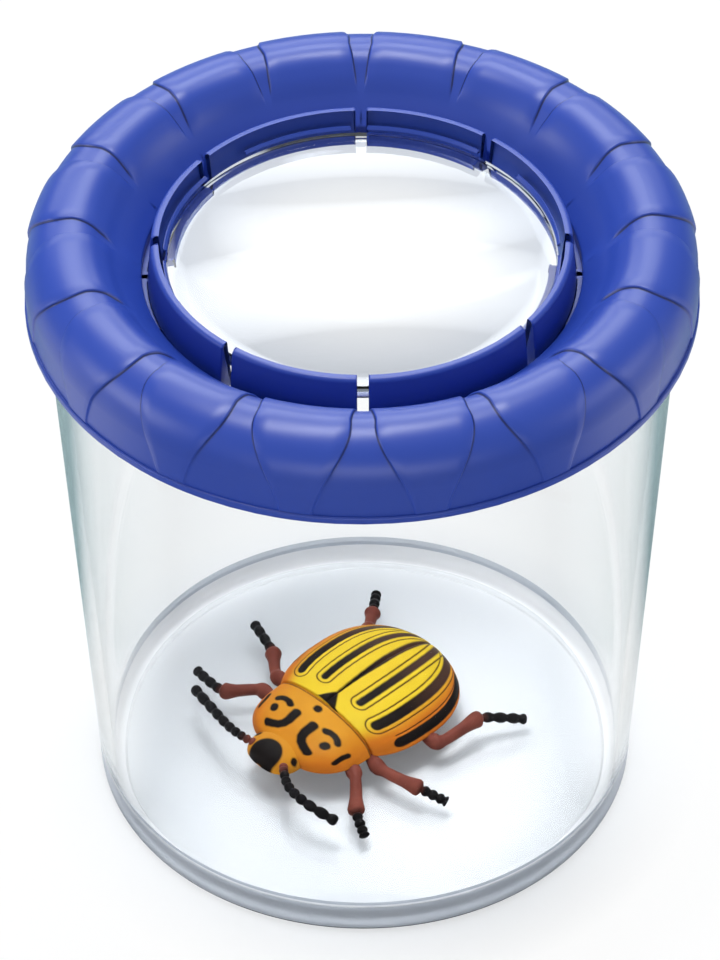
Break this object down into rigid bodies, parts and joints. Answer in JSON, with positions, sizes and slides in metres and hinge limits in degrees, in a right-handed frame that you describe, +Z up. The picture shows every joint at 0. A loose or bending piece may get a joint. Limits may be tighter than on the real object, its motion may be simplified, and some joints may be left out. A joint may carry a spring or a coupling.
{
  "type": "bug catcher jar",
  "caption": "Clear tapered specimen cup with a push-on puffed-ring lid that holds a magnifier lens in slit snap fingers, and a toy beetle inside.",
  "frame": {"origin": "middle of the cup's foot, on the surface that it stands on", "axes": "+Z up along the cup's axis; -Y towards the viewer of the picture, +X to the viewer's right"},
  "size_m": [0.07, 0.07, 0.0753],
  "materials": {
    "clear_plastic": "clear, polished",
    "blue_plastic": "satin gloss",
    "lens_acrylic": "clear, polished",
    "beetle_yellow": "painted, satin",
    "beetle_brown": "painted, satin"
  },
  "bodies": {
    "cup": {"clear_cup": "clear_plastic"},
    "lid": {"lid_ring": "blue_plastic", "magnifier_lens": "lens_acrylic"},
    "beetle": {"beetle_shell": "beetle_yellow", "beetle_legs": "beetle_brown"}
  },
  "joints": [
    {"name": "lid_lift", "type": "slide", "parent": "cup", "child": "lid", "axis": [0, 0, 1], "range_m": [0, 0.06]},
    {"name": "beetle_lift", "type": "slide", "parent": "cup", "child": "beetle", "axis": [0, 0, 1], "range_m": [0, 0.045]}
  ]
}
